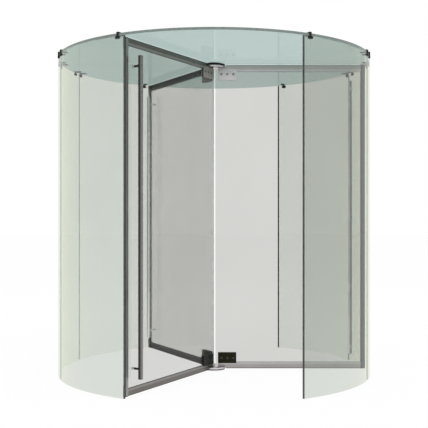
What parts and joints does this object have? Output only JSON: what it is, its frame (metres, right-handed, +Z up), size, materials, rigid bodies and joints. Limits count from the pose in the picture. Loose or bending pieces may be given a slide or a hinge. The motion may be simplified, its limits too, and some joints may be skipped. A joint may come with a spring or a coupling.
{
  "type": "revolving door",
  "caption": "All-glass revolving door with curved glass side walls, a flat glass canopy and a glass rotor whose wings carry slim metal rails and long tubular pull handles.",
  "frame": {"origin": "on the rotor's axis at floor level", "axes": "+Z up along the rotor's axis, the front opening faces -Y, the right side wall is centred on +X"},
  "size_m": [2.2164, 2.1996, 2.206],
  "materials": {
    "wall_glass": "clear toughened glass with polished edges",
    "canopy_glass": "clear laminated glass",
    "wing_glass": "clear toughened glass with polished edges",
    "silicone": "smooth clear sealant",
    "clamp_metal": "satin stainless steel",
    "bearing_paint": "satin black",
    "hub_metal": "turned satin stainless steel",
    "rail_metal": "brushed along its length",
    "stile_metal": "brushed along its length",
    "corner_plastic": "moulded dark grey",
    "brush_pile": "dense black brush pile",
    "patch_metal": "satin stainless steel",
    "handle_metal": "satin stainless tube"
  },
  "bodies": {
    "drum": {"wall_left_front": "wall_glass", "wall_left_middle": "wall_glass", "wall_left_back": "wall_glass", "wall_right_front": "wall_glass", "wall_right_middle": "wall_glass", "wall_right_back": "wall_glass", "wall_joint_seals": "silicone", "canopy_back": "canopy_glass", "canopy_front": "canopy_glass", "canopy_seam_seal": "silicone", "end_clamps_left": "clamp_metal", "end_clamps_right": "clamp_metal", "joint_clamps_left": "clamp_metal", "joint_clamps_right": "clamp_metal", "canopy_bearing": "bearing_paint", "floor_bearing": "hub_metal"},
    "rotor": {"hub_bottom_disc": "hub_metal", "hub_top_disc": "hub_metal", "wing_right_glass": "wing_glass", "wing_right_bottom_rail": "rail_metal", "wing_right_top_rail": "rail_metal", "wing_right_stile": "stile_metal", "wing_right_corner_blocks": "corner_plastic", "wing_right_brush_seals": "brush_pile", "wing_right_bottom_patch": "patch_metal", "wing_right_top_patch": "patch_metal", "wing_right_pull_handle": "handle_metal", "wing_back_glass": "wing_glass", "wing_back_bottom_rail": "rail_metal", "wing_back_top_rail": "rail_metal", "wing_back_stile": "stile_metal", "wing_back_corner_blocks": "corner_plastic", "wing_back_brush_seals": "brush_pile", "wing_back_bottom_patch": "patch_metal", "wing_back_top_patch": "patch_metal", "wing_back_pull_handle": "handle_metal", "wing_front_glass": "wing_glass", "wing_front_bottom_rail": "rail_metal", "wing_front_top_rail": "rail_metal", "wing_front_stile": "stile_metal", "wing_front_corner_blocks": "corner_plastic", "wing_front_brush_seals": "brush_pile", "wing_front_bottom_patch": "patch_metal", "wing_front_top_patch": "patch_metal", "wing_front_pull_handle": "handle_metal"}
  },
  "joints": [
    {"name": "rotor_spin", "type": "hinge", "parent": "drum", "child": "rotor", "pos_m": [0, 0, 0], "axis": [0, 0, 1], "continuous": true}
  ]
}
